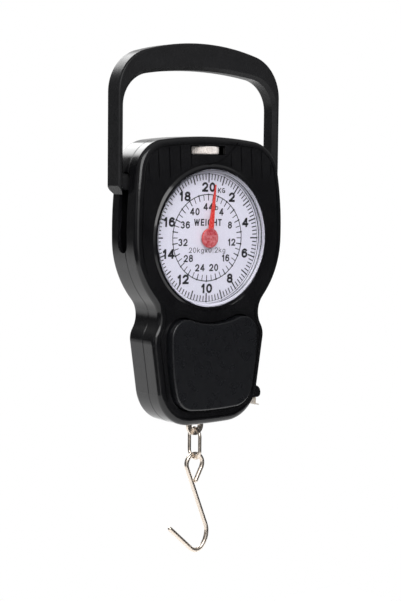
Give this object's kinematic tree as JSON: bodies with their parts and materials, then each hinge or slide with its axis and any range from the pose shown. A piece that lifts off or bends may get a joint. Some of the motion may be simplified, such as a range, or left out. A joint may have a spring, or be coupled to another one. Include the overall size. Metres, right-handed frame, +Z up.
{
  "type": "hanging spring scale",
  "caption": "Hand-held hanging scale: figure-eight case with a round dial and zero wheel, carry handle above, link and hook below, and a pull-out tape measure.",
  "frame": {"origin": "middle of the underside of the handle grip, where a finger or a hook carries the scale", "axes": "+Z up along the direction of hanging, +Y from the dial towards the back of the case, +X to the right of someone reading the dial"},
  "size_m": [0.1028, 0.027, 0.2636],
  "materials": {
    "case_black": "gloss",
    "handle_black": "semi-gloss",
    "clear_plastic": "clear",
    "dial_print": "satin",
    "white_plastic": "matte",
    "zinc_steel": "zinc plated",
    "spring_steel": "oiled",
    "nickel_wire": "nickel plated",
    "nickel_wheel": "nickel plated, knurled edge",
    "pointer_red": "gloss",
    "brass": "turned",
    "grey_plastic": "matte",
    "white_acetal": "smooth",
    "brake_rubber": "matte",
    "tape_paint": "satin"
  },
  "bodies": {
    "handle": {"handle": "handle_black"},
    "case": {"front_shell": "case_black", "rear_shell": "case_black", "case_screws": "zinc_steel", "lens": "clear_plastic", "dial_plate": "dial_print", "dial_spacer": "white_plastic", "chassis": "zinc_steel", "chassis_screws": "zinc_steel", "front_bush": "brass", "rear_bush": "brass", "rack_guide": "brass", "zero_bracket": "zinc_steel", "bracket_screws": "zinc_steel", "tape_cup": "grey_plastic", "cup_screws": "zinc_steel", "tape_guide_pin": "spring_steel", "tape_blade_inner": "tape_paint", "spring_left": "spring_steel", "spring_right": "spring_steel", "button_spring": "spring_steel"},
    "pointer": {"pointer": "pointer_red", "pointer_shaft": "spring_steel", "pinion": "brass"},
    "load_bar": {"load_bar": "nickel_wire", "yoke": "zinc_steel", "rack": "zinc_steel", "yoke_rivets": "zinc_steel"},
    "zero_wheel": {"zero_wheel": "nickel_wheel"},
    "hanger": {"hanger": "zinc_steel"},
    "link": {"link": "nickel_wire"},
    "hook": {"hook": "nickel_wire"},
    "tape_spool": {"tape_spool": "white_acetal", "tape_wound": "tape_paint", "spiral_spring": "spring_steel"},
    "tape_end": {"tape_end_clip": "nickel_wire", "tape_blade_free": "tape_paint"},
    "tape_button": {"tape_button": "case_black", "brake_plunger": "white_acetal", "brake_ring": "brake_rubber"}
  },
  "joints": [
    {"name": "case_slide", "type": "slide", "parent": "handle", "child": "case", "axis": [0, 0, 1], "range_m": [0, 0.03]},
    {"name": "load_slide", "type": "slide", "parent": "case", "child": "load_bar", "axis": [0, 0, -1], "range_m": [0, 0.02], "stiffness_N_per_m": 9600, "deforming": ["spring_left", "spring_right"]},
    {"name": "pointer_spin", "type": "hinge", "parent": "case", "child": "pointer", "pos_m": [0, -0.0098, -0.0844], "axis": [0, 1, 0], "range_deg": [0, 353]},
    {"name": "zero_spin", "type": "hinge", "parent": "case", "child": "zero_wheel", "pos_m": [0, -0.0033, -0.04005], "axis": [0, 0, 1], "range_deg": [-720, 720]},
    {"name": "hanger_slide", "type": "slide", "parent": "case", "child": "hanger", "axis": [0, 0, 1], "range_m": [-0.0014, 0.0014], "deforming": ["spring_left", "spring_right"]},
    {"name": "link_swing", "type": "hinge", "parent": "load_bar", "child": "link", "pos_m": [0, -0.0013, -0.1838], "axis": [0, 1, 0], "range_deg": [-40, 40]},
    {"name": "hook_swing", "type": "hinge", "parent": "link", "child": "hook", "pos_m": [0, -0.0013, -0.19747], "axis": [1, 0, 0], "range_deg": [-60, 60]},
    {"name": "tape_pull", "type": "slide", "parent": "case", "child": "tape_end", "axis": [0, 0, -1], "range_m": [0, 1], "deforming": ["tape_blade_free"]},
    {"name": "spool_spin", "type": "hinge", "parent": "case", "child": "tape_spool", "pos_m": [0, -0.00705, -0.1497], "axis": [0, 1, 0], "range_deg": [0, 4350]},
    {"name": "button_press", "type": "slide", "parent": "case", "child": "tape_button", "axis": [0, 1, 0], "range_m": [0, 0.0015], "stiffness_N_per_m": 2000, "deforming": ["button_spring"]}
  ],
  "couplings": [
    {"joint": "pointer_spin", "follows": "load_slide", "rad_per_m": 307.69},
    {"joint": "zero_spin", "follows": "hanger_slide", "rad_per_m": -8975.9},
    {"joint": "spool_spin", "follows": "tape_pull", "rad_per_m": 75.76}
  ]
}
